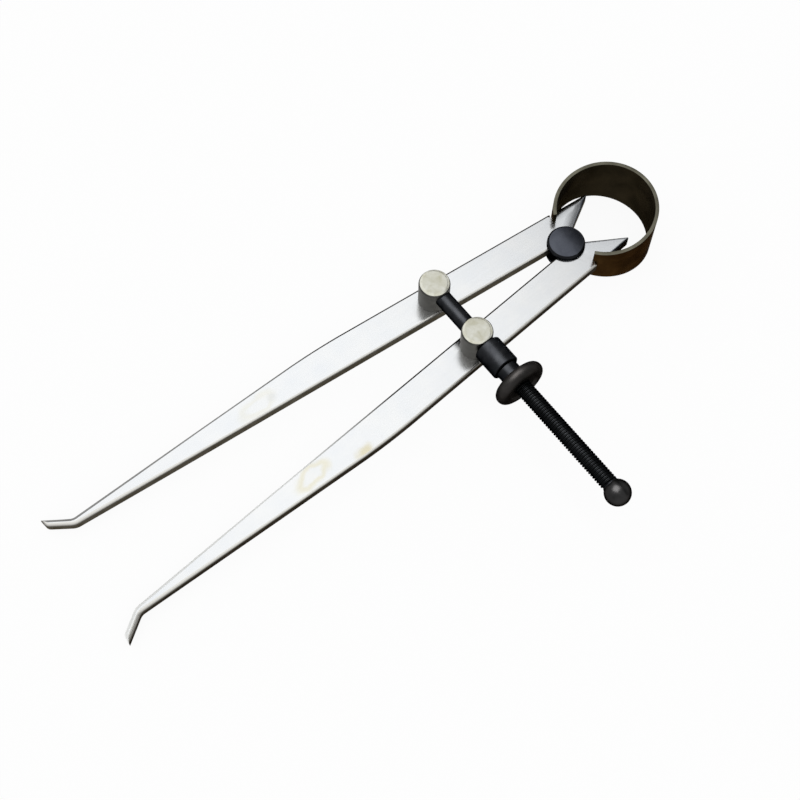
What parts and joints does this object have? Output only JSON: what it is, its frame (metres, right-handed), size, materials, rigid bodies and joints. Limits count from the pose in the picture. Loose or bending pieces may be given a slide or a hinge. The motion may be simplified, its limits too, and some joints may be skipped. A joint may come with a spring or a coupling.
{
  "type": "inside spring caliper",
  "caption": "Inside spring caliper: flat tapered legs with out-turned tips rock on a flanged roller under a bow spring; a screw with a round thumb nut sets the opening.",
  "frame": {"origin": "on the fulcrum roller's axis, on the outer face of its rear flange", "axes": "+Y along the middle line towards the bow spring, +X towards the thumb nut, +Z along the roller's axis towards the studs"},
  "size_m": [0.0839, 0.1756, 0.022],
  "materials": {
    "bright_steel": "satin ground",
    "nickel_plated_steel": "dull nickel",
    "black_oxide_steel": "satin black oxide",
    "tempered_spring_steel": "dark brown temper"
  },
  "bodies": {
    "fulcrum": {"fulcrum_roller": "black_oxide_steel"},
    "leg_left": {"leg_left": "bright_steel"},
    "leg_right": {"leg_right": "bright_steel"},
    "post_left": {"stud_left": "nickel_plated_steel", "washer_left": "bright_steel", "adjusting_screw": "black_oxide_steel"},
    "post_right": {"stud_right": "nickel_plated_steel", "washer_right": "bright_steel", "thrust_sleeve": "black_oxide_steel"},
    "nut": {"thumb_nut": "black_oxide_steel"},
    "bow": {"bow_spring": "tempered_spring_steel"}
  },
  "joints": [
    {"name": "leg_left_swing", "type": "hinge", "parent": "fulcrum", "child": "leg_left", "pos_m": [0, 0, 0.0029], "axis": [0, 0, -1], "range_deg": [-5, 25.3]},
    {"name": "leg_right_swing", "type": "hinge", "parent": "fulcrum", "child": "leg_right", "pos_m": [0, 0, 0.0029], "axis": [0, 0, 1], "range_deg": [-5, 25.3]},
    {"name": "stud_left_turn", "type": "hinge", "parent": "leg_left", "child": "post_left", "pos_m": [-0.00853, -0.03723, 0.0029], "axis": [0, 0, 1], "range_deg": [-5, 25.3]},
    {"name": "stud_right_turn", "type": "hinge", "parent": "leg_right", "child": "post_right", "pos_m": [0.00853, -0.03723, 0.0029], "axis": [0, 0, -1], "range_deg": [-5, 25.3]},
    {"name": "nut_spin", "type": "hinge", "parent": "post_right", "child": "nut", "pos_m": [0.025, -0.03723, 0.0097], "axis": [1, 0, 0], "range_deg": [-2900, 14700]},
    {"name": "bow_shift", "type": "slide", "parent": "fulcrum", "child": "bow", "axis": [0, 1, 0], "range_m": [-0.0007, 0.0034], "deforming": ["bow_spring"]}
  ],
  "couplings": [
    {"joint": "leg_left_swing", "follows": "nut_spin", "ratio": 0.001718},
    {"joint": "leg_right_swing", "follows": "nut_spin", "ratio": 0.001718},
    {"joint": "stud_left_turn", "follows": "nut_spin", "ratio": 0.001718},
    {"joint": "stud_right_turn", "follows": "nut_spin", "ratio": 0.001718},
    {"joint": "bow_shift", "follows": "nut_spin", "m_per_rad": 0.000012885}
  ]
}
